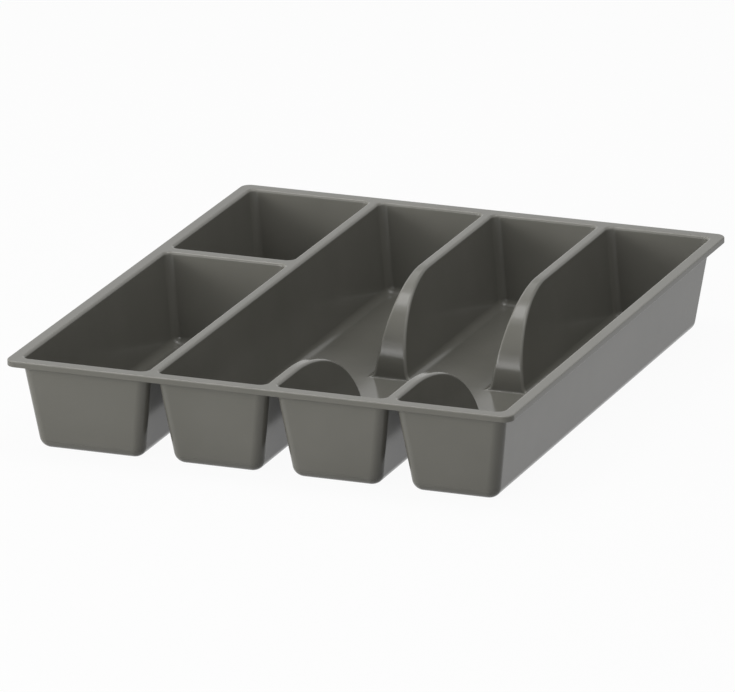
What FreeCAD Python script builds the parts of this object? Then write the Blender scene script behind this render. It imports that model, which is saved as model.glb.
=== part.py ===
import FreeCAD, Part
import math
import os

import Sketcher

# Cutlery tray, one thin-walled plastic moulding: a rim with a turned-down lip, five drafted
# compartments hanging from it, hollow dividers between them, and two dividers that dip to the
# floor so that fingers can lift the cutlery. X runs along the front edge, Y from front to back,
# Z up; the origin is on the ground under the middle of the tray. Millimetres and degrees.

SIZES = {
    "tray_width": 260.0,
    "tray_depth": 310.0,
    "tray_height": 47.0,
    "wall_thickness": 1.6,
    "draft_angle": 8.0,
    "rim_width": 7.0,
    "rim_corner_radius": 5.3,
    "rim_edge_radius": 0.7,
    "lip_height": 3.2,
    "divider_cap": 6.2,
    "left_divider_offset": 74.0,
    "right_divider_offset": 63.6,
    "cross_divider_offset": 116.9,
    "corner_radius": 4.0,
    "floor_radius": 3.6,
    "floor_margin": 2.0,
    "dip_rear_start": 96.6,
    "dip_rear_run": 48.2,
    "dip_front_start": 34.4,
    "dip_front_run": 74.5,
}

doc = FreeCAD.newDocument("cutlery_tray")
sheet = doc.addObject("Spreadsheet::Sheet", "sizes")
for row, (alias, value) in enumerate(SIZES.items(), start=1):
    sheet.set(f"A{row}", alias)
    sheet.set(f"B{row}", str(value))
    sheet.setAlias(f"B{row}", alias)
doc.recompute()

# Expressions for the places that several pieces share. Each is text that the document evaluates.
SLOPE = "tan(sizes.draft_angle * 1 deg)"
HALF_WIDTH = "(sizes.tray_width / 2)"
HALF_DEPTH = "(sizes.tray_depth / 2)"
HALF_CAP = "(sizes.divider_cap / 2)"
MOUTH_X = f"({HALF_WIDTH} - sizes.rim_width)"
MOUTH_Y = f"({HALF_DEPTH} - sizes.rim_width)"
CAVITY_DEPTH = "(sizes.tray_height - sizes.wall_thickness)"
LIP_LEVEL = "(sizes.tray_height - sizes.lip_height)"
LEFT_DIVIDER_X = f"(sizes.left_divider_offset - {HALF_WIDTH})"
RIGHT_DIVIDER_X = f"({HALF_WIDTH} - sizes.right_divider_offset)"
MIDDLE_DIVIDER_X = f"(({LEFT_DIVIDER_X} + {RIGHT_DIVIDER_X}) / 2)"
CROSS_DIVIDER_Y = f"({HALF_DEPTH} - sizes.cross_divider_offset)"
DIP_REAR_TOP_Y = f"({HALF_DEPTH} - sizes.dip_rear_start)"
DIP_REAR_FOOT_Y = f"({DIP_REAR_TOP_Y} - sizes.dip_rear_run)"
DIP_FRONT_TOP_Y = f"(sizes.dip_front_start - {HALF_DEPTH})"
DIP_FRONT_FOOT_Y = f"({DIP_FRONT_TOP_Y} + sizes.dip_front_run)"
# A floor fillet runs round the upright corners, so it stays smaller than they are.
FILLET_SHARE_OF_CORNER = 0.9
FLOOR_FILLET = f"min(sizes.floor_radius; {FILLET_SHARE_OF_CORNER} * sizes.corner_radius)"
# How far a wall and its floor fillet reach in from the mouth before the floor is flat.
FOOT_REACH = (
    f"({CAVITY_DEPTH} * {SLOPE} + {FLOOR_FILLET} * tan((90 - sizes.draft_angle) / 2 * 1 deg))"
)
# A floor's own section starts a margin further in, clear of the fillets and their corners.
FLOOR_REACH = f"({FOOT_REACH} + sizes.floor_margin)"

# Mouth of each compartment at the rim: left, right, front and back edge.
MOUTHS = {
    "rear_left": (
        f"-{MOUTH_X}", f"({LEFT_DIVIDER_X} - {HALF_CAP})",
        f"({CROSS_DIVIDER_Y} + {HALF_CAP})", MOUTH_Y,
    ),
    "front_left": (
        f"-{MOUTH_X}", f"({LEFT_DIVIDER_X} - {HALF_CAP})",
        f"-{MOUTH_Y}", f"({CROSS_DIVIDER_Y} - {HALF_CAP})",
    ),
    "middle_left": (
        f"({LEFT_DIVIDER_X} + {HALF_CAP})", f"({MIDDLE_DIVIDER_X} - {HALF_CAP})",
        f"-{MOUTH_Y}", MOUTH_Y,
    ),
    "middle_right": (
        f"({MIDDLE_DIVIDER_X} + {HALF_CAP})", f"({RIGHT_DIVIDER_X} - {HALF_CAP})",
        f"-{MOUTH_Y}", MOUTH_Y,
    ),
    "right": (
        f"({RIGHT_DIVIDER_X} + {HALF_CAP})", MOUTH_X,
        f"-{MOUTH_Y}", MOUTH_Y,
    ),
}


def value(expression):
    """A size or a place as a plain number."""
    return float(sheet.evalExpression(expression))


def origin_plane(body, role):
    """One of a body's own origin planes."""
    return next(plane for plane in body.Origin.OriginFeatures if plane.Role == role)


def centred_rectangle(body, name, width, depth):
    """Sketch of a rectangle about the body's origin, on its XY plane."""
    sketch = body.newObject("Sketcher::SketchObject", name)
    sketch.AttachmentSupport = [(origin_plane(body, "XY_Plane"), "")]
    sketch.MapMode = "FlatFace"
    corners = [(-20, -20), (20, -20), (20, 20), (-20, 20)]
    points = [FreeCAD.Vector(x, y, 0) for x, y in corners]
    for start, end in zip(points, points[1:] + points[:1]):
        sketch.addGeometry(Part.LineSegment(start, end), False)
    for line in range(4):
        sketch.addConstraint(Sketcher.Constraint("Coincident", line, 2, (line + 1) % 4, 1))
    for line in (0, 2):
        sketch.addConstraint(Sketcher.Constraint("Horizontal", line))
        sketch.addConstraint(Sketcher.Constraint("Vertical", line + 1))
    sketch.addConstraint(Sketcher.Constraint("Symmetric", 0, 1, 1, 2, -1, 1))
    across = sketch.addConstraint(Sketcher.Constraint("DistanceX", 0, 1, 0, 2, 40.0))
    along = sketch.addConstraint(Sketcher.Constraint("DistanceY", 1, 1, 1, 2, 40.0))
    sketch.renameConstraint(across, "across")
    sketch.renameConstraint(along, "along")
    sketch.setExpression("Constraints.across", width)
    sketch.setExpression("Constraints.along", depth)
    return sketch


def rising_edges(feature):
    """Names of a feature's edges that run from its lowest level to its highest."""
    levels = [vertex.Z for vertex in feature.Shape.Vertexes]
    half = (max(levels) - min(levels)) / 2
    names = []
    for number, edge in enumerate(feature.Shape.Edges, start=1):
        heights = [vertex.Z for vertex in edge.Vertexes]
        if max(heights) - min(heights) > half:
            names.append(f"Edge{number}")
    return names


def level_edges(feature, pick):
    """Names of a feature's edges at its lowest or highest level, as pick is min or max."""
    level = pick(vertex.Z for vertex in feature.Shape.Vertexes)
    names = []
    for number, edge in enumerate(feature.Shape.Edges, start=1):
        if all(abs(vertex.Z - level) < 1e-4 for vertex in edge.Vertexes):
            names.append(f"Edge{number}")
    return names


def upright_faces(feature):
    """Names of a feature's faces that stand upright."""
    names = []
    for number, face in enumerate(feature.Shape.Faces, start=1):
        if abs(face.normalAt(0, 0).z) < 0.1:
            names.append(f"Face{number}")
    return names


def rounded(body, name, base, edges, radius):
    """Fillet on some edges of a feature."""
    fillet = body.newObject("PartDesign::Fillet", name)
    fillet.Base = (base, edges)
    fillet.setExpression("Radius", radius)
    doc.recompute()
    return fillet


def drafted_tub(name, mouth, outset, depth, corner_radius, bottom_radius):
    """A block that hangs from the rim, narrows by the draft and is rounded at sides and bottom."""
    left, right, front, back = mouth
    body = doc.addObject("PartDesign::Body", name)
    rim_sketch = centred_rectangle(
        body, f"{name}_mouth", f"{right} - {left} + 2 * {outset}", f"{back} - {front} + 2 * {outset}"
    )
    pad = body.newObject("PartDesign::Pad", f"{name}_pad")
    pad.Profile = rim_sketch
    pad.Reversed = True
    pad.setExpression("Length", depth)
    doc.recompute()
    sides = body.newObject("PartDesign::Draft", f"{name}_draft")
    sides.Base = (pad, upright_faces(pad))
    sides.NeutralPlane = (origin_plane(body, "XY_Plane"), [""])
    sides.Reversed = True
    sides.setExpression("Angle", "sizes.draft_angle")
    body.setExpression("Placement.Base.x", f"({left} + {right}) / 2")
    body.setExpression("Placement.Base.y", f"({front} + {back}) / 2")
    body.setExpression("Placement.Base.z", "sizes.tray_height")
    doc.recompute()
    if sides.Shape.Volume >= pad.Shape.Volume:
        raise RuntimeError(f"{name} does not narrow towards the ground")
    corners = rounded(body, f"{name}_corners", sides, rising_edges(sides), corner_radius)
    rounded(body, f"{name}_bottom", corners, level_edges(corners, min), bottom_radius)
    return body


def rim_plate():
    """Flat rim over the whole tray with its lip turned down all round, before the mouths are cut."""
    body = doc.addObject("PartDesign::Body", "rim_plate")
    outline = centred_rectangle(body, "rim_outline", "sizes.tray_width", "sizes.tray_depth")
    pad = body.newObject("PartDesign::Pad", "rim_pad")
    pad.Profile = outline
    pad.Reversed = True
    pad.setExpression("Length", "sizes.lip_height")
    doc.recompute()
    corners = rounded(body, "rim_corners", pad, rising_edges(pad), "sizes.rim_corner_radius")
    rounded(body, "rim_edge", corners, level_edges(corners, max), "sizes.rim_edge_radius")
    body.setExpression("Placement.Base.z", "sizes.tray_height")
    doc.recompute()
    inside = doc.addObject("PartDesign::Body", "lip_inside")
    outline = centred_rectangle(
        inside, "lip_outline",
        "sizes.tray_width - 2 * sizes.wall_thickness", "sizes.tray_depth - 2 * sizes.wall_thickness",
    )
    hollow = inside.newObject("PartDesign::Pad", "lip_hollow")
    hollow.Profile = outline
    hollow.setExpression("Length", "sizes.lip_height - sizes.wall_thickness")
    doc.recompute()
    rounded(
        inside, "lip_hollow_corners", hollow, rising_edges(hollow),
        "sizes.rim_corner_radius - sizes.wall_thickness",
    )
    inside.setExpression("Placement.Base.z", LIP_LEVEL)
    plate = doc.addObject("Part::Cut", "rim_with_lip")
    plate.Base = body
    plate.Tool = inside
    doc.recompute()
    return plate


def quarter_oval(level_end, corner, upright_end):
    """A quarter of an ellipse between a level and an upright end, as a rational curve."""
    curve = Part.BezierCurve()
    curve.setPoles([level_end, corner, upright_end])
    curve.setWeight(2, math.sqrt(0.5))
    return curve.toShape()


def dip_face(inset, top):
    """Side face of the dip: all that lies above a ridge set in by so much, up to a level."""
    bend = value("sizes.wall_thickness")
    floor = bend - inset
    rim = value("sizes.tray_height") - inset
    rear_top = value(DIP_REAR_TOP_Y)
    rear_foot = value(DIP_REAR_FOOT_Y) + inset
    front_top = value(DIP_FRONT_TOP_Y)
    front_foot = value(DIP_FRONT_FOOT_Y) - inset

    def at(y, z):
        return FreeCAD.Vector(0, y, z)

    # The curves end on the bend, the level of the floor, and below it the faces drop straight.
    edges = [
        quarter_oval(at(rear_top, rim), at(rear_foot, rim), at(rear_foot, bend)),
        quarter_oval(at(front_top, rim), at(front_foot, rim), at(front_foot, bend)),
    ]
    path = [at(front_foot, bend), at(front_foot, floor), at(rear_foot, floor), at(rear_foot, bend)]
    over = [at(rear_top, rim), at(rear_top, top), at(front_top, top), at(front_top, rim)]
    for points in (path, over):
        for start, end in zip(points, points[1:]):
            if start.distanceToPoint(end) > 1e-6:
                edges.append(Part.LineSegment(start, end).toShape())
    return Part.Face(Part.Wire(Part.sortEdges(edges)[0]))


def dip_block(name, profile, divider_x):
    """The dip's side face drawn out across one divider, as far as the flat floors beside it."""
    block = doc.addObject("Part::Extrusion", name)
    block.Base = profile
    block.DirMode = "Custom"
    block.Dir = FreeCAD.Vector(1, 0, 0)
    block.Solid = True
    block.setExpression("LengthFwd", f"{HALF_CAP} + {FOOT_REACH}")
    block.setExpression("LengthRev", f"{HALF_CAP} + {FOOT_REACH}")
    block.setExpression("Placement.Base.x", divider_x)
    return block


def joined(name, shapes):
    """Several shapes fused."""
    fuse = doc.addObject("Part::MultiFuse", name)
    fuse.Shapes = shapes
    return fuse


def less(name, base, tool):
    """One shape with another cut away."""
    cut = doc.addObject("Part::Cut", name)
    cut.Base = base
    cut.Tool = tool
    return cut


def moulding():
    """The whole tray as it leaves the mould, before it is divided into its named sections."""
    cavities = []
    outsides = []
    for name, mouth in MOUTHS.items():
        cavities.append(
            drafted_tub(
                f"cavity_{name}", mouth, "0", CAVITY_DEPTH, "sizes.corner_radius", FLOOR_FILLET
            )
        )
        outsides.append(
            drafted_tub(
                f"outside_{name}", mouth, "sizes.wall_thickness", "sizes.tray_height",
                "sizes.corner_radius + sizes.wall_thickness",
                f"{FLOOR_FILLET} + sizes.wall_thickness",
            )
        )
    plate = rim_plate()
    skin_face = doc.addObject("Part::Feature", "ridge_skin_face")
    skin_face.Shape = dip_face(value("sizes.wall_thickness"), value("sizes.tray_height"))
    air_face = doc.addObject("Part::Feature", "dip_air_face")
    air_face.Shape = dip_face(0.0, value("sizes.tray_height + sizes.wall_thickness"))
    skins = []
    airs = []
    for name, divider_x in (("middle", MIDDLE_DIVIDER_X), ("right", RIGHT_DIVIDER_X)):
        skins.append(dip_block(f"ridge_skin_{name}", skin_face, divider_x))
        airs.append(dip_block(f"dip_air_{name}", air_face, divider_x))
    doc.recompute()
    filled = joined("filled_tray", [plate] + outsides + skins)
    spaces = joined("spaces", cavities + airs)
    shell = less("tray_moulding", filled, spaces)
    doc.recompute()
    return shell


def section(shell, name, across, along, upward):
    """The part of the moulding inside one box of space, as a node of its own."""
    space = doc.addObject("Part::Box", f"space_{name}")
    for length, axis, (low, high) in (
        ("Length", "x", across), ("Width", "y", along), ("Height", "z", upward)
    ):
        space.setExpression(length, f"{high} - {low}")
        space.setExpression(f"Placement.Base.{axis}", low)
    piece = doc.addObject("Part::Common", name)
    piece.Base = shell
    piece.Tool = space
    piece.Label = name
    return piece


def sections(shell):
    """All named sections: rims, outer walls, dividers, ridges, saddles and floors."""
    flats = {
        name: (
            f"({left} + {FLOOR_REACH})", f"({right} - {FLOOR_REACH})",
            f"({front} + {FLOOR_REACH})", f"({back} - {FLOOR_REACH})",
        )
        for name, (left, right, front, back) in MOUTHS.items()
    }
    # The boxes of space reach one wall thickness past the tray on every side.
    east, north = f"({HALF_WIDTH} + sizes.wall_thickness)", f"({HALF_DEPTH} + sizes.wall_thickness)"
    west, south = f"-{east}", f"-{north}"
    low, lip, top = "-sizes.wall_thickness", LIP_LEVEL, "(sizes.tray_height + sizes.wall_thickness)"
    front_flat, back_flat = flats["right"][2], flats["right"][3]
    left_flat, right_flat = flats["rear_left"][0], flats["right"][1]
    under, over, whole = (low, lip), (lip, top), (low, top)
    long_run = (front_flat, back_flat)
    spaces = {
        "rim_front": ((west, east), (south, front_flat), over),
        "rim_back": ((west, east), (back_flat, north), over),
        "rim_left": ((west, left_flat), long_run, over),
        "rim_right": ((right_flat, east), long_run, over),
        "wall_left_front": ((west, left_flat), (front_flat, CROSS_DIVIDER_Y), under),
        "wall_left_rear": ((west, left_flat), (CROSS_DIVIDER_Y, back_flat), under),
        "wall_right": ((right_flat, east), long_run, under),
        "divider_left": ((flats["rear_left"][1], flats["middle_left"][0]), long_run, whole),
        "divider_cross": (
            (left_flat, flats["rear_left"][1]),
            (flats["front_left"][3], flats["rear_left"][2]), whole,
        ),
    }
    columns = {
        "left": (west, LEFT_DIVIDER_X),
        "middle_left": (LEFT_DIVIDER_X, MIDDLE_DIVIDER_X),
        "middle_right": (MIDDLE_DIVIDER_X, RIGHT_DIVIDER_X),
        "right": (RIGHT_DIVIDER_X, east),
    }
    for name, across in columns.items():
        spaces[f"wall_front_{name}"] = (across, (south, front_flat), under)
        spaces[f"wall_back_{name}"] = (across, (back_flat, north), under)
    for name, left_side, right_side in (
        ("middle", "middle_left", "middle_right"), ("right", "middle_right", "right")
    ):
        across = (flats[left_side][1], flats[right_side][0])
        spaces[f"ridge_{name}_rear"] = (across, (DIP_REAR_FOOT_Y, back_flat), whole)
        spaces[f"ridge_{name}_front"] = (across, (front_flat, DIP_FRONT_FOOT_Y), whole)
        spaces[f"saddle_{name}"] = (across, (DIP_FRONT_FOOT_Y, DIP_REAR_FOOT_Y), whole)
    for name, (left, right, front, back) in flats.items():
        spaces[f"floor_{name}"] = ((left, right), (front, back), under)
    return [section(shell, name, *space) for name, space in spaces.items()]


tray = moulding()
pieces = sections(tray)
doc.recompute()

for item in doc.Objects:
    if "Invalid" in item.State or "Error" in item.State:
        raise RuntimeError(f"{item.Label} failed: {item.State}")
for piece in pieces:
    if piece.Shape.isNull() or not piece.Shape.isValid():
        raise RuntimeError(f"{piece.Label} has no sound shape")
    if len(piece.Shape.Solids) != 1:
        raise RuntimeError(f"{piece.Label} is {len(piece.Shape.Solids)} solids")
# The blended corners of the floors are free-form, and their volumes are integrated to this share.
VOLUME_ACCURACY = 1e-3
whole_volume = tray.Shape.Volume
shared_volume = sum(piece.Shape.Volume for piece in pieces)
if abs(whole_volume - shared_volume) > VOLUME_ACCURACY * whole_volume:
    raise RuntimeError(f"sections hold {shared_volume:.1f} of {whole_volume:.1f} cubic mm")

os.makedirs("parts", exist_ok=True)
for piece in pieces:
    piece.Shape.Solids[0].exportStep(f"parts/{piece.Label}.step")
    print(f"{piece.Label:22s} {piece.Shape.Volume / 1000.0:8.2f} cubic cm")
print(f"tray {whole_volume / 1000.0:.1f} cubic cm in {len(pieces)} sections")
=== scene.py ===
# %% [markdown]
# # A cutlery tray for a kitchen drawer
# The real tray is one thin sheet of dark, warm grey plastic, moulded in a single shot: a flat rim
# with a lip turned down round its edge, five compartments that hang from it, and two dividers that
# curve down to the floor so that fingers can get under the cutlery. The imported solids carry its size
# and its collision. This script builds the same sheet again with every edge rounded, as one smooth
# mesh, and then gives it its plastic, a pale table and soft studio light.

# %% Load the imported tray
import math
from collections import namedtuple

import bmesh
import bpy
import numpy as np
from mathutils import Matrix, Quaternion, Vector


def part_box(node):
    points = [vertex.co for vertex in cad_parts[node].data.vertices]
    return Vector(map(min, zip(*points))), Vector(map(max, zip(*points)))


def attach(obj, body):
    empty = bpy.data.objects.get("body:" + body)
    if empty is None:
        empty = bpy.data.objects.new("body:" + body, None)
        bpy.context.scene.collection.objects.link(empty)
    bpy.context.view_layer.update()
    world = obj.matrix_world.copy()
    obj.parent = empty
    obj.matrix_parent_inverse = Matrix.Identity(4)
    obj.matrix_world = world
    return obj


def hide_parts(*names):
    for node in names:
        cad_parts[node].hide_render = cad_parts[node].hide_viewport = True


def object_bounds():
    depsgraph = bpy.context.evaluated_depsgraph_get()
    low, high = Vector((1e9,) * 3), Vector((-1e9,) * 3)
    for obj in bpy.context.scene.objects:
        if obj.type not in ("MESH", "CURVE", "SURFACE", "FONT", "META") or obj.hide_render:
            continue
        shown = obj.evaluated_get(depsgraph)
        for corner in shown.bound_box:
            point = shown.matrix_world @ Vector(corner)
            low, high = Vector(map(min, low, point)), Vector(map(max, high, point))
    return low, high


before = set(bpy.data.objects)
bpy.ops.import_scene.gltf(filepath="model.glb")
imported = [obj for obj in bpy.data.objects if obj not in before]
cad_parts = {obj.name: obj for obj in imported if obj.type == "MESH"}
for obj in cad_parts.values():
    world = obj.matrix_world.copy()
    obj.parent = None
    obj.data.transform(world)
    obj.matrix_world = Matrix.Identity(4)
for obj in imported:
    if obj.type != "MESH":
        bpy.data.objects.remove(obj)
cad_box = [list(corner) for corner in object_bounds()]
scene = bpy.context.scene
scene.view_settings.view_transform = "Standard"
print("packed tray", cad_box, "in", len(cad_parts), "sections")

# %% [markdown]
# ## The camera
# A catalogue picture of such a tray is taken from several metres away with a long lens, so that edges
# that are parallel stay nearly parallel. The camera is placed by what it looks at: a point on the
# rim's level, a direction to it, and a distance. A focal length found from the picture's lines does
# the rest. Setting the camera first means that every later shape can be judged in its final view.

# %% Camera
MM = 0.001
(tray_left, tray_front, ground), (tray_right, tray_back, rim_top) = cad_box
AIM = Vector((26.57 * MM, -75.15 * MM, rim_top))
CAMERA_AZIMUTH = math.radians(21.345)
CAMERA_ELEVATION = math.radians(17.827)
CAMERA_ROLL = math.radians(-0.488)
CAMERA_DISTANCE = 4.819
VIEW_DEPTH = 100.0
FOCAL_LENGTH = 489.4
SENSOR_WIDTH = 36.0

towards_camera = Vector((
    math.sin(CAMERA_AZIMUTH) * math.cos(CAMERA_ELEVATION),
    -math.cos(CAMERA_AZIMUTH) * math.cos(CAMERA_ELEVATION),
    math.sin(CAMERA_ELEVATION),
))
camera = bpy.data.objects.new("camera", bpy.data.cameras.new("camera"))
scene.collection.objects.link(camera)
camera.data.sensor_fit = "HORIZONTAL"
camera.data.sensor_width = SENSOR_WIDTH
camera.data.lens = FOCAL_LENGTH
camera.data.clip_end = VIEW_DEPTH
camera.location = AIM + CAMERA_DISTANCE * towards_camera
camera.rotation_mode = "QUATERNION"
level_view = (-towards_camera).to_track_quat("-Z", "Y")
camera.rotation_quaternion = level_view @ Quaternion((0, 0, 1), CAMERA_ROLL)
scene.camera = camera
print("camera at", [round(place, 3) for place in camera.location])

# %% [markdown]
# ## Measuring the tray
# Nothing is placed by eye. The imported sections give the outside, the wall thickness, the lip and the
# places of the dividers and of the finger dips. A few sizes that a section's box can't show, such as
# the draft and the rounding of edges, are written where they are first needed, as the real tray's own.

# %% Sizes and places
RIM_WIDTH = 7.0 * MM
DIVIDER_CAP = 6.2 * MM
CROSS_CAP = 7.0 * MM

saddle_low, saddle_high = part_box("saddle_middle")
wall = saddle_high.z - saddle_low.z
lip_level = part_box("rim_right")[0].z
front_foot, rear_foot = saddle_low.y, saddle_high.y


def middle_of(node, axis):
    """The middle of a section's box along one axis."""
    low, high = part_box(node)
    return (low[axis] + high[axis]) / 2


left_divider = middle_of("divider_left", 0)
middle_divider = middle_of("saddle_middle", 0)
right_divider = middle_of("saddle_right", 0)
cross_divider = middle_of("divider_cross", 1)
half_cap = DIVIDER_CAP / 2
half_cross = CROSS_CAP / 2
mouth_left, mouth_right = tray_left + RIM_WIDTH, tray_right - RIM_WIDTH
mouth_front, mouth_back = tray_front + RIM_WIDTH, tray_back - RIM_WIDTH
print(f"wall {wall / MM:.2f} mm, lip {(rim_top - lip_level) / MM:.2f} mm")
print("dividers at", [round(x / MM, 2) for x in (left_divider, middle_divider, right_divider)])

# %% [markdown]
# ## One sheet, two skins
# The tray is a thin sheet, so its inside and its outside are the same shape twice, about one wall
# apart. It could be a boolean of many boxes, but that leaves hard edges, and this plastic shows itself
# by the light on its rounded ones. Here each skin is a small set of numbers, and the same functions
# draw both: where its rim and floor lie, and how large its roundings are.

# %% The two skins
DRAFT = math.radians(8.0)
SLOPE = math.tan(DRAFT)
UPRIGHT_CORNER = 4.0 * MM
MOUTH_EDGE = 1.6 * MM
MOUTH_ROOT = 0.6 * MM
FLOOR_FILLET = 4.2 * MM
CREASE = 1.0 * MM
# Against the picture, caps and strips with rounded edges came out a little too wide, so the side
# walls of the inside stand this much further out on each side than the solids' do.
MOUTH_EASE = 0.4 * MM

# The outsets move a skin's walls out from the outline of a mouth. Air is 1 for the skin that faces
# up and -1 for the one that faces down.
Skin = namedtuple("Skin", "rim floor side_outset end_outset corner edge foot crease air")
inside = Skin(
    rim=rim_top, floor=ground + wall, side_outset=MOUTH_EASE, end_outset=0.0, corner=UPRIGHT_CORNER,
    edge=MOUTH_EDGE, foot=FLOOR_FILLET, crease=CREASE, air=1,
)
outside = Skin(
    rim=rim_top - wall, floor=ground, side_outset=wall * (1 - SLOPE), end_outset=wall * (1 - SLOPE),
    corner=UPRIGHT_CORNER + wall, edge=MOUTH_ROOT, foot=FLOOR_FILLET + wall, crease=CREASE + wall, air=-1,
)
print("inside floor at", round(inside.floor / MM, 2), "mm, outside at", round(outside.floor / MM, 2), "mm")

# %% [markdown]
# ## Patches
# Every curved surface is made as a patch, a grid of four-sided faces through rows of points. A plain
# mesh would only know places. Each point here also carries the direction that the real surface faces
# there, for the shading, and how much painted highlight it gets, a lighter grey along rounded edges,
# for the material.

# %% Patches of faces
moulding = bmesh.new()
facing_layer = moulding.verts.layers.float_vector.new("facing")
# The lighter grey along rounded edges is a painted highlight; this layer holds how much each point gets.
highlight_layer = moulding.verts.layers.float.new("highlight")


def add_patch(rows, air, closed=False):
    """Adds four-sided faces through rows of points.

    Each point is a place, the direction it faces, and how much painted highlight it gets.
    """
    lines = []
    for row in rows:
        line = []
        for place, facing, highlight in row:
            vertex = moulding.verts.new(place)
            vertex[facing_layer] = air * Vector(facing)
            vertex[highlight_layer] = highlight
            line.append(vertex)
        lines.append(line)
    for upper, lower in zip(lines, lines[1:]):
        for here in range(len(upper) if closed else len(upper) - 1):
            there = (here + 1) % len(upper)
            moulding.faces.new((upper[here], upper[there], lower[there], lower[here]))


print("points carry", facing_layer.name, "and", highlight_layer.name)

# %% [markdown]
# ## Walls
# Every wall has the same section: a small rounding at the mouth, a straight leaning face, and a larger
# fillet into the floor. A bevel on a box would do for one wall, but it has to guess where draft, corner
# and fillet meet. So the section is a list of insets, heights and leans, where the lean is the angle
# between straight up and the way the surface faces. It is carried round the compartment on columns:
# each column has a middle that drifts inwards with the draft, and a direction outwards from it.

# %% The floor fillet
FOOT_STEPS = 10
# A surface turns by this much at the mouth of a compartment, and back again at its floor.
TURN = math.pi / 2 - DRAFT


def draft(skin, height):
    """How far a leaning wall has come in from its mouth at a height."""
    return (skin.rim - height) * SLOPE


def foot_middle(skin):
    """How far in from the mouth the floor fillet ends."""
    return draft(skin, skin.floor) + skin.foot * math.tan(TURN / 2)


def foot_arc(skin, lean):
    """Inset, height and lean down the floor fillet, from one lean to flat."""
    return [
        (
            foot_middle(skin) - skin.foot * math.sin(fall),
            skin.floor + skin.foot * (1 - math.cos(fall)),
            fall,
        )
        for fall in np.linspace(lean, 0, FOOT_STEPS + 1)
    ]


print(f"floor starts {foot_middle(inside) / MM:.2f} mm in from a mouth")

# %% The section of a wall
EDGE_STEPS = 6


def highlight_arc(steps, air):
    """How much painted highlight an edge gets at each step round it: most in its middle, and only on the
    inside skin.
    """
    return [max(air, 0) * math.sin(math.pi * step / steps) for step in range(steps + 1)]


def wall_section(skin):
    """Inset, height, lean and painted highlight from the rim's level down to the floor."""
    overhang = skin.edge * math.tan(TURN / 2)
    leans = np.linspace(0, TURN, EDGE_STEPS + 1)
    mouth = [
        (skin.edge * math.sin(lean) - overhang, skin.rim - skin.edge * (1 - math.cos(lean)), lean, highlight)
        for lean, highlight in zip(leans, highlight_arc(EDGE_STEPS, skin.air))
    ]
    return mouth + [(inset, height, lean, 0.0) for inset, height, lean in foot_arc(skin, TURN)]


print(len(wall_section(inside)), "points down a wall")

# %% Columns round a compartment
CORNER_STEPS = 14
# The side and the end of each upright corner, and the angle where its turn to the left starts.
BACK_RIGHT = (1, 1, 0)
BACK_LEFT = (-1, 1, 90)
FRONT_LEFT = (-1, -1, 180)
FRONT_RIGHT = (1, -1, 270)
Bay = namedtuple("Bay", "left right front back")


def corner(skin, bay, which):
    """Columns round one upright corner, in the order of a turn to the left."""
    side, end, start = which
    x = bay.right + skin.side_outset if side > 0 else bay.left - skin.side_outset
    y = bay.back + skin.end_outset if end > 0 else bay.front - skin.end_outset
    middle = (x - side * skin.corner, y - end * skin.corner)
    turns = np.radians(np.linspace(start, start + 90, CORNER_STEPS + 1))
    return [(middle, (-side, -end), (math.cos(turn), math.sin(turn))) for turn in turns]


def flank(skin, bay, side, y):
    """One column on a straight side wall."""
    x = bay.right + skin.side_outset if side > 0 else bay.left - skin.side_outset
    return [((x - side * skin.corner, y), (-side, 0), (side, 0))]


print(CORNER_STEPS + 1, "columns round an upright corner")

# %% Walls along columns
def add_wall(skin, columns, closed=False):
    """A wall from rim to floor along a row of columns."""
    rows = []
    for inset, height, lean, highlight in wall_section(skin):
        drift = draft(skin, height)
        radius = skin.corner + drift - inset
        row = []
        for (x, y), (glide_x, glide_y), (out_x, out_y) in columns:
            place = (x + glide_x * drift + out_x * radius, y + glide_y * drift + out_y * radius, height)
            # Round a corner the middle drifts both ways at once, so the surface faces up a little more.
            extra = -(glide_x * out_x + glide_y * out_y) - 1
            rise = math.cos(lean) + extra * SLOPE * math.sin(lean)
            facing = Vector((-out_x * math.sin(lean), -out_y * math.sin(lean), rise)).normalized()
            row.append((place, facing, highlight))
        rows.append(row)
    add_patch(rows, skin.air, closed)


print("mouth roundings", round(inside.edge / MM, 2), "mm inside,", round(outside.edge / MM, 2), "mm outside")

# %% [markdown]
# ## The compartments
# On the left, a full-height cross divider makes a rear and a front compartment. Nothing interrupts
# their walls, so each is one closed loop of columns. The other three compartments run the whole depth
# of the tray. One long box for each would leave no room for the fingers, so their walls stop where a
# divider begins to dip.

# %% Where the compartments lie
REAR_RUN = 48.2 * MM
FRONT_RUN = 74.5 * MM

bays = {
    "rear_left": Bay(mouth_left, left_divider - half_cap, cross_divider + half_cross, mouth_back),
    "front_left": Bay(mouth_left, left_divider - half_cap, mouth_front, cross_divider - half_cross),
    "middle_left": Bay(left_divider + half_cap, middle_divider - half_cap, mouth_front, mouth_back),
    "middle_right": Bay(middle_divider + half_cap, right_divider - half_cap, mouth_front, mouth_back),
    "right": Bay(right_divider + half_cap, mouth_right, mouth_front, mouth_back),
}
rear_top, front_top = rear_foot + REAR_RUN, front_foot - FRONT_RUN
print({name: round((bay.right - bay.left) / MM, 1) for name, bay in bays.items()}, "mm wide")

# %% Walls of the compartments
def add_short_bays(skin):
    """The rear and front compartments on the left."""
    for name in ("rear_left", "front_left"):
        loop = []
        for which in (BACK_RIGHT, BACK_LEFT, FRONT_LEFT, FRONT_RIGHT):
            loop += corner(skin, bays[name], which)
        add_wall(skin, loop, closed=True)


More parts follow.
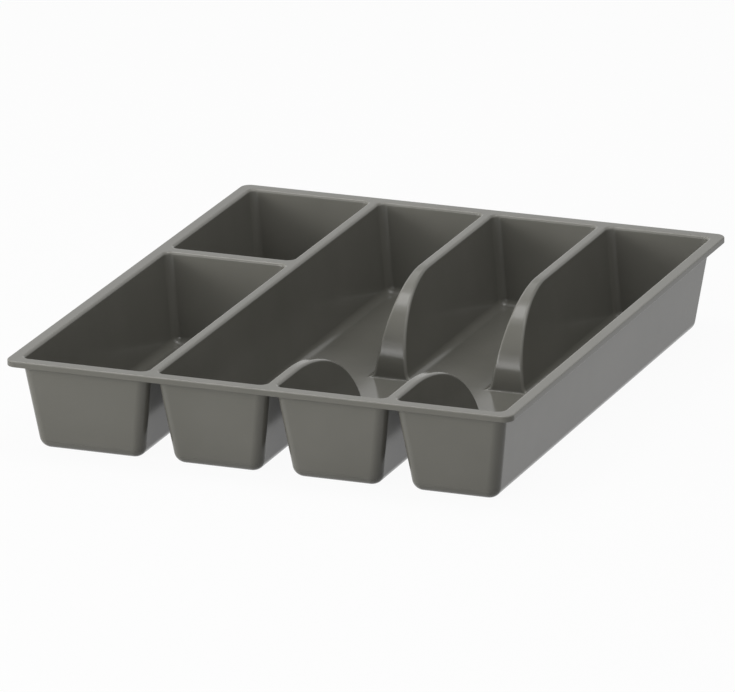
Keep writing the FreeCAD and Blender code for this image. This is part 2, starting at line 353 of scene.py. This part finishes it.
def add_long_bays(skin):
    """The walls of the three long compartments, up to where the dividers dip."""
    bay = bays["middle_left"]
    columns = flank(skin, bay, 1, rear_top)
    for which in (BACK_RIGHT, BACK_LEFT, FRONT_LEFT, FRONT_RIGHT):
        columns += corner(skin, bay, which)
    add_wall(skin, columns + flank(skin, bay, 1, front_top))

    bay = bays["middle_right"]
    rear = corner(skin, bay, BACK_RIGHT) + corner(skin, bay, BACK_LEFT)
    add_wall(skin, flank(skin, bay, 1, rear_top) + rear + flank(skin, bay, -1, rear_top))
    front = corner(skin, bay, FRONT_LEFT) + corner(skin, bay, FRONT_RIGHT)
    add_wall(skin, flank(skin, bay, -1, front_top) + front + flank(skin, bay, 1, front_top))

    bay = bays["right"]
    columns = flank(skin, bay, -1, front_top)
    for which in (FRONT_LEFT, FRONT_RIGHT, BACK_RIGHT, BACK_LEFT):
        columns += corner(skin, bay, which)
    add_wall(skin, columns + flank(skin, bay, -1, rear_top))


for skin in (inside, outside):
    add_short_bays(skin)
    add_long_bays(skin)
print(len(moulding.faces), "faces in the walls")

# %% [markdown]
# ## Ridges that dip to the floor
# Two dividers come down from the rim in a quarter of an oval and meet the floor in a small crease.
# The strip along the top of such a ridge widens as it falls, because the sides lean out. A bevel would
# have to guess that corner. Instead, a small ball is rolled down the ridge: it touches the strip and
# the side at once, and the arc between the two touches is the rounded edge.

# %% The line down a ridge
RIDGE_STEPS = 48
CREASE_STEPS = 8
HALVINGS = 40


def ridge_line(skin, run):
    """Distance along, height and lean down the end of a ridge, from the rim to the low floor."""
    tall = skin.rim - skin.floor

    def oval(turn):
        lean = math.atan2(math.sin(turn) / run, math.cos(turn) / tall)
        return run * math.sin(turn), skin.floor + tall * math.cos(turn), lean

    # The crease starts where a ball in it would touch both the oval and the floor.
    low, high = 0.0, math.pi / 2
    for _ in range(HALVINGS):
        turn = (low + high) / 2
        _, height, lean = oval(turn)
        if height + skin.crease * math.cos(lean) > skin.floor + skin.crease:
            low = turn
        else:
            high = turn
    line = [oval(turn) for turn in np.linspace(0, low, RIDGE_STEPS + 1)]
    along, _, lean = line[-1]
    hollow = along + skin.crease * math.sin(lean)
    for fall in np.linspace(lean, 0, CREASE_STEPS + 1)[1:]:
        across, drop = skin.crease * math.sin(fall), skin.crease * (1 - math.cos(fall))
        line.append((hollow - across, skin.floor + drop, fall))
    return line


print(f"rear ridges end {ridge_line(inside, REAR_RUN)[-1][0] / MM:.2f} mm ahead of where they start to fall")

# %% The sides of a ridge
def side_touch(skin, height):
    """Where the edge's ball, at a height, touches the ridge's side.

    Gives the ball's distance from the middle of the ridge, and the side's lean there.
    """
    half = half_cap - skin.side_outset
    rise = (skin.floor + skin.foot - height) / (skin.foot + skin.edge)
    if rise < math.sin(DRAFT):
        return half + draft(skin, height) - skin.edge / math.cos(DRAFT), TURN
    lean = math.acos(min(1.0, rise))
    return half + foot_middle(skin) - (skin.foot + skin.edge) * math.sin(lean), lean


def add_ridge(skin, divider, top, ahead, run):
    """One end of a dipping divider: its strip and its two sides with their rounded edges."""
    strip = []
    flanks = {-1: [], 1: []}
    half = half_cap - skin.side_outset
    # The painted highlight along the ridge's rounded edges.
    edge_highlight = highlight_arc(EDGE_STEPS, skin.air)
    for along, height, lean in ridge_line(skin, run):
        strip_facing = Vector((0, ahead * math.sin(lean), math.cos(lean)))
        ball_y = top + ahead * (along - skin.edge * math.sin(lean))
        ball_z = height - skin.edge * math.cos(lean)
        reach, side_lean = side_touch(skin, ball_z)
        place_y = top + ahead * along
        strip.append([((divider + side * reach, place_y, height), strip_facing, 0.0) for side in (-1, 1)])
        for side, columns in flanks.items():
            side_facing = Vector((side * math.sin(side_lean), 0, math.cos(side_lean)))
            ball = Vector((divider + side * reach, ball_y, ball_z))
            column = []
            for share, highlight in zip(np.linspace(0, 1, EDGE_STEPS + 1), edge_highlight):
                facing = strip_facing.slerp(side_facing, share)
                column.append((ball + skin.edge * facing, facing, highlight))
            for inset, level, fall in foot_arc(skin, side_lean):
                place = (divider + side * (half + inset), ball_y, level)
                column.append((place, (side * math.sin(fall), 0, math.cos(fall)), 0.0))
            columns.append(column)
    add_patch(strip, skin.air)
    for columns in flanks.values():
        add_patch(columns, skin.air)


for skin in (inside, outside):
    # The outside of the sheet meets the ground one wall thickness further in.
    shorter = 0.0 if skin is inside else wall
    for divider in (middle_divider, right_divider):
        add_ridge(skin, divider, rear_top, -1, REAR_RUN - shorter)
        add_ridge(skin, divider, front_top, 1, FRONT_RUN - shorter)
print(len(moulding.faces), "faces with the ridges")

# %% [markdown]
# ## The lip
# Round the outside, the rim turns down into a short lip, which stiffens the edge. A Solidify modifier
# would give it a thickness, but not its different roundings. So its section is drawn as four arcs:
# over the top edge, down the outside, under, and up again on the inside to the underside of the rim.

# %% The lip round the rim
LIP_STEPS = 5
RIM_CORNER = 5.3 * MM
RIM_EDGE = 0.7 * MM
LIP_EDGE = 0.4 * MM


def lip_arc(inset, height, radius, start, end):
    """Inset, height and turn round one edge of the lip; a negative radius is a hollow one."""
    return [
        (inset - radius * math.sin(turn), height + radius * math.cos(turn), turn)
        for turn in np.radians(np.linspace(start, end, LIP_STEPS + 1))
    ]


def add_lip():
    """The turned-down lip, as a closed loop round the tray."""
    under = rim_top - wall
    section = lip_arc(RIM_EDGE, rim_top - RIM_EDGE, RIM_EDGE, 0, 90)
    section += lip_arc(LIP_EDGE, lip_level + LIP_EDGE, LIP_EDGE, 90, 180)
    section += lip_arc(wall - LIP_EDGE, lip_level + LIP_EDGE, LIP_EDGE, 180, 270)
    section += lip_arc(wall + LIP_EDGE, under - LIP_EDGE, -LIP_EDGE, 270, 180)
    # Only the top edge gets the painted highlight.
    edge_highlight = highlight_arc(LIP_STEPS, 1)
    edge_highlight += [0.0] * (len(section) - len(edge_highlight))
    rim = Bay(tray_left, tray_right, tray_front, tray_back)
    outline = inside._replace(corner=RIM_CORNER, side_outset=0.0)
    columns = []
    for which in (BACK_RIGHT, BACK_LEFT, FRONT_LEFT, FRONT_RIGHT):
        columns += corner(outline, rim, which)
    rows = []
    for (inset, height, turn), highlight in zip(section, edge_highlight):
        radius = RIM_CORNER - inset
        rows.append([
            (
                (x + out_x * radius, y + out_y * radius, height),
                (out_x * math.sin(turn), out_y * math.sin(turn), math.cos(turn)),
                highlight,
            )
            for (x, y), _, (out_x, out_y) in columns
        ])
    add_patch(rows, 1, closed=True)


add_lip()
print(len(moulding.faces), "faces with the lip")

# %% [markdown]
# ## Closing the sheet
# What is left open is flat: the rim's top and underside, the floors and the undersides. The patches
# share their edges, so merging the doubled corners joins them into one surface, and each flat area is
# filled from the open edges that lie at its level. Every corner keeps the direction that its surface
# really faces, and that becomes the shading, so the flats stay flat and the roundings stay smooth.

# %% Join the patches and fill the flats
# Corners closer than the first are one corner, and heights closer than the second are one level.
MERGE = 1e-6
LEVEL = 1e-5
CUBIC_CM = 1e-6

bmesh.ops.remove_doubles(moulding, verts=moulding.verts, dist=MERGE)
for level in (rim_top, rim_top - wall, ground + wall, ground):
    edges = [
        edge for edge in moulding.edges
        if edge.is_boundary and all(abs(vertex.co.z - level) < LEVEL for vertex in edge.verts)
    ]
    bmesh.ops.triangle_fill(moulding, use_beauty=True, edges=edges, normal=(0, 0, 1))
bmesh.ops.recalc_face_normals(moulding, faces=moulding.faces)
open_edges = sum(not edge.is_manifold for edge in moulding.edges)
print("open edges", open_edges, "volume", round(moulding.calc_volume() / CUBIC_CM, 2), "cubic cm")

# %% The tray as an object
tray_mesh = bpy.data.meshes.new("tray_moulding")
facings = [vertex[facing_layer].copy() for vertex in moulding.verts]
moulding.to_mesh(tray_mesh)
moulding.free()
tray_mesh.attributes.remove(tray_mesh.attributes["facing"])
tray_mesh.shade_smooth()
tray_mesh.normals_split_custom_set_from_vertices(facings)
tray = bpy.data.objects.new("tray_moulding", tray_mesh)
scene.collection.objects.link(tray)
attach(tray, "root")
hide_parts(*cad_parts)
print(len(tray_mesh.polygons), "faces in the tray")

# %% [markdown]
# ## Satin plastic
# The plastic is a warm, nearly black grey with a soft sheen: matt enough to blur what it mirrors,
# glossy enough that a floor shows the ridge that stands on it. A flat colour would look like paint.
# Slow noise shifts the colour a little, as the flow of the plastic does, finer noise changes the
# gloss, and a very fine grain from the mould breaks the highlights. Along the rounded edges the mesh
# carries a painted highlight, and the plastic is a little lighter there.

# %% Shader nodes and noise
def add_node(tree, kind, **inputs):
    """A shader node with some of its inputs set by name."""
    node = tree.nodes.new(kind)
    for name, value in inputs.items():
        node.inputs[name.replace("_", " ").title()].default_value = value
    return node


def add_noise(tree, place, sizes):
    """Noise that stays still on the tray."""
    noise = add_node(tree, "ShaderNodeTexNoise", **sizes)
    tree.links.new(place.outputs["Object"], noise.inputs["Vector"])
    return noise.outputs["Fac"]


# Most of a noise lies between these two values.
NOISE_LOW, NOISE_HIGH = 0.3, 0.7
print("noise is spread from", NOISE_LOW, "to", NOISE_HIGH)

# %% Colour of the plastic
DEEP_GREY = (0.104, 0.102, 0.089, 1)
FLOW_GREY = (0.122, 0.119, 0.105, 1)
# A painted highlight: the lighter grey along rounded edges.
HIGHLIGHT_GREY = (0.155, 0.152, 0.136, 1)
FLOW_NOISE = {"scale": 14.0, "detail": 3.0, "roughness": 0.55}


def add_colour(tree, place, shader):
    """Grey that shifts with the flow of the plastic and is lighter where a highlight is painted along edges.
    """
    flow = add_noise(tree, place, FLOW_NOISE)
    tint = add_node(tree, "ShaderNodeValToRGB")
    deep, light = tint.color_ramp.elements
    deep.position = NOISE_LOW
    deep.color = DEEP_GREY
    light.position = NOISE_HIGH
    light.color = FLOW_GREY
    tree.links.new(flow, tint.inputs["Fac"])
    # The painted highlight lightens the grey along rounded edges.
    highlight = tree.nodes.new("ShaderNodeAttribute")
    highlight.attribute_name = "highlight"
    edge_highlight = add_node(tree, "ShaderNodeMixRGB", color2=HIGHLIGHT_GREY)
    tree.links.new(highlight.outputs["Fac"], edge_highlight.inputs["Fac"])
    tree.links.new(tint.outputs["Color"], edge_highlight.inputs["Color1"])
    tree.links.new(edge_highlight.outputs["Color"], shader.inputs["Base Color"])


print("greys", DEEP_GREY[:3], "to", FLOW_GREY[:3], "and rubbed", HIGHLIGHT_GREY[:3])

# %% Gloss and grain of the plastic
PLASTIC_IOR = 1.31
SHEEN_NOISE = {"scale": 90.0, "detail": 4.0, "roughness": 0.6}
LEAST_ROUGH, MOST_ROUGH = 0.13, 0.17
GRAIN_NOISE = {"scale": 500.0, "detail": 2.0, "roughness": 0.5}
GRAIN_STRENGTH = 0.03
GRAIN_DEPTH = 0.0001


def add_gloss(tree, place, shader):
    """Roughness that varies a little over the surface."""
    sheen = add_noise(tree, place, SHEEN_NOISE)
    gloss = add_node(
        tree, "ShaderNodeMapRange", from_min=NOISE_LOW, from_max=NOISE_HIGH,
        to_min=LEAST_ROUGH, to_max=MOST_ROUGH,
    )
    tree.links.new(sheen, gloss.inputs["Value"])
    tree.links.new(gloss.outputs["Result"], shader.inputs["Roughness"])


def add_grain(tree, place, shader):
    """The fine grain that the mould leaves."""
    grain = add_noise(tree, place, GRAIN_NOISE)
    relief = add_node(tree, "ShaderNodeBump", strength=GRAIN_STRENGTH, distance=GRAIN_DEPTH)
    tree.links.new(grain, relief.inputs["Height"])
    tree.links.new(relief.outputs["Normal"], shader.inputs["Normal"])


def satin_plastic():
    """Dark warm grey moulded plastic with a satin sheen."""
    material = bpy.data.materials.new("satin_plastic")
    material.use_nodes = True
    tree = material.node_tree
    shader = tree.nodes["Principled BSDF"]
    shader.inputs["IOR"].default_value = PLASTIC_IOR
    place = add_node(tree, "ShaderNodeTexCoord")
    add_colour(tree, place, shader)
    add_gloss(tree, place, shader)
    add_grain(tree, place, shader)
    return material


tray_mesh.materials.append(satin_plastic())
print("materials on the tray:", [material.name for material in tray_mesh.materials])

# %% [markdown]
# ## A pale table
# The tray stands on a plain white surface that fills the picture. A white sheet under plain light
# renders as pale grey, so most of what the camera or a mirror sees of it is an even white, chosen
# through the Light Path node. The small share that is left is lit like any other sheet, so the tray
# keeps a soft shadow, and the table throws no more light on the tray than a plain grey sheet would.

# %% What is seen directly
def seen_directly(tree):
    """One for rays from the camera, a mirror or glass, and nought for rays that only gather light."""
    path = tree.nodes.new("ShaderNodeLightPath")
    total = path.outputs["Is Camera Ray"]
    for name in ("Is Glossy Ray", "Is Transmission Ray"):
        larger = tree.nodes.new("ShaderNodeMath")
        larger.operation = "MAXIMUM"
        tree.links.new(total, larger.inputs[0])
        tree.links.new(path.outputs[name], larger.inputs[1])
        total = larger.outputs["Value"]
    return total


# The share of even white in what is seen of the table.
SEEN_WHITE = 0.95
print("of the table,", SEEN_WHITE, "is seen as even white")

# %% Table
TABLE_SIZE = 12.0
TABLE_DROP = 0.2 * MM
TABLE_GREY = (0.45, 0.45, 0.45, 1)
FULL_WHITE = 1.0


def table_white():
    """A grey sheet in the studio's light, lifted towards white where it is seen directly."""
    material = bpy.data.materials.new("table_white")
    material.use_nodes = True
    tree = material.node_tree
    tree.nodes.remove(tree.nodes["Principled BSDF"])
    sheet = add_node(tree, "ShaderNodeBsdfDiffuse", color=TABLE_GREY)
    white = add_node(tree, "ShaderNodeEmission", strength=FULL_WHITE)
    share = tree.nodes.new("ShaderNodeMath")
    share.operation = "MULTIPLY"
    share.inputs[1].default_value = SEEN_WHITE
    choice = tree.nodes.new("ShaderNodeMixShader")
    tree.links.new(seen_directly(tree), share.inputs[0])
    tree.links.new(share.outputs["Value"], choice.inputs["Fac"])
    tree.links.new(sheet.outputs["BSDF"], choice.inputs[1])
    tree.links.new(white.outputs["Emission"], choice.inputs[2])
    tree.links.new(choice.outputs["Shader"], tree.nodes["Material Output"].inputs["Surface"])
    return material


table_mesh = bpy.data.meshes.new("table")
half_table = TABLE_SIZE / 2
table_corners = [
    (side * half_table, end * half_table, ground - TABLE_DROP)
    for side, end in ((-1, -1), (1, -1), (1, 1), (-1, 1))
]
table_mesh.from_pydata(table_corners, [], [(0, 1, 2, 3)])
table = bpy.data.objects.new("table", table_mesh)
scene.collection.objects.link(table)
table_mesh.materials.append(table_white())
print("table", TABLE_SIZE, "m wide")

# %% [markdown]
# ## Studio light
# Satin plastic shows the lamps around it as soft patches, so the lamps are placed by what mirrors
# them: the curved strips of the two ridges show one lamp overhead on the left and one low in front.
# A lamp with a hard edge would draw a hard band there, so each of those two is a small lamp together
# with a wider one whose surface is dimmer, and the edge of the patch fades. The other four light the
# floors and the walls from above, from behind and from the left. The pale room is an even white from
# the world.

# %% Surroundings
WHITE = (1, 1, 1, 1)
ROOM_STRENGTH = 0.23
SEEN_ROOM = 0.94

world = bpy.data.worlds.new("studio")
scene.world = world
world.use_nodes = True
tree = world.node_tree
room = tree.nodes["Background"]
room.inputs["Color"].default_value = WHITE
room.inputs["Strength"].default_value = ROOM_STRENGTH
white = add_node(tree, "ShaderNodeBackground", color=WHITE, strength=SEEN_ROOM)
choice = tree.nodes.new("ShaderNodeMixShader")
tree.links.new(seen_directly(tree), choice.inputs["Fac"])
tree.links.new(room.outputs["Background"], choice.inputs[1])
tree.links.new(white.outputs["Background"], choice.inputs[2])
tree.links.new(choice.outputs["Shader"], tree.nodes["World Output"].inputs["Surface"])
print("the room lights with", ROOM_STRENGTH, "and is seen as", SEEN_ROOM)

# %% Soft boxes
SoftBox = namedtuple("SoftBox", "place width height power")
SOFT_BOXES = {
    "upper_right": SoftBox((1.1, 0.1, 1.7), 1.4, 1.4, 10.0),
    "over_left": SoftBox((-0.6, 0.0, 1.6), 0.5, 0.5, 4.4),
    "over_left_wide": SoftBox((-0.6, 0.0, 1.62), 1.0, 1.0, 6.0),
    "over_right": SoftBox((0.35, 0.0, 1.6), 0.7, 0.7, 7.5),
    "back_top": SoftBox((-0.7, 1.0, 1.5), 1.2, 0.9, 3.8),
    "front_near": SoftBox((-0.44, -1.0, 0.31), 1.3, 0.22, 4.2),
    "front_near_wide": SoftBox((-0.45, -1.03, 0.32), 1.4, 0.56, 5.2),
    "left_low": SoftBox((-1.9, -1.2, 0.6), 1.6, 0.8, 24.0),
}


def add_soft_box(name, box):
    """A rectangular lamp that faces the tray."""
    lamp = bpy.data.lights.new(name, "AREA")
    lamp.shape = "RECTANGLE"
    lamp.size = box.width
    lamp.size_y = box.height
    lamp.energy = box.power
    stand = bpy.data.objects.new(name, lamp)
    stand.location = box.place
    stand.rotation_euler = (AIM - Vector(box.place)).to_track_quat("-Z", "Y").to_euler()
    scene.collection.objects.link(stand)


for name, box in SOFT_BOXES.items():
    add_soft_box(name, box)
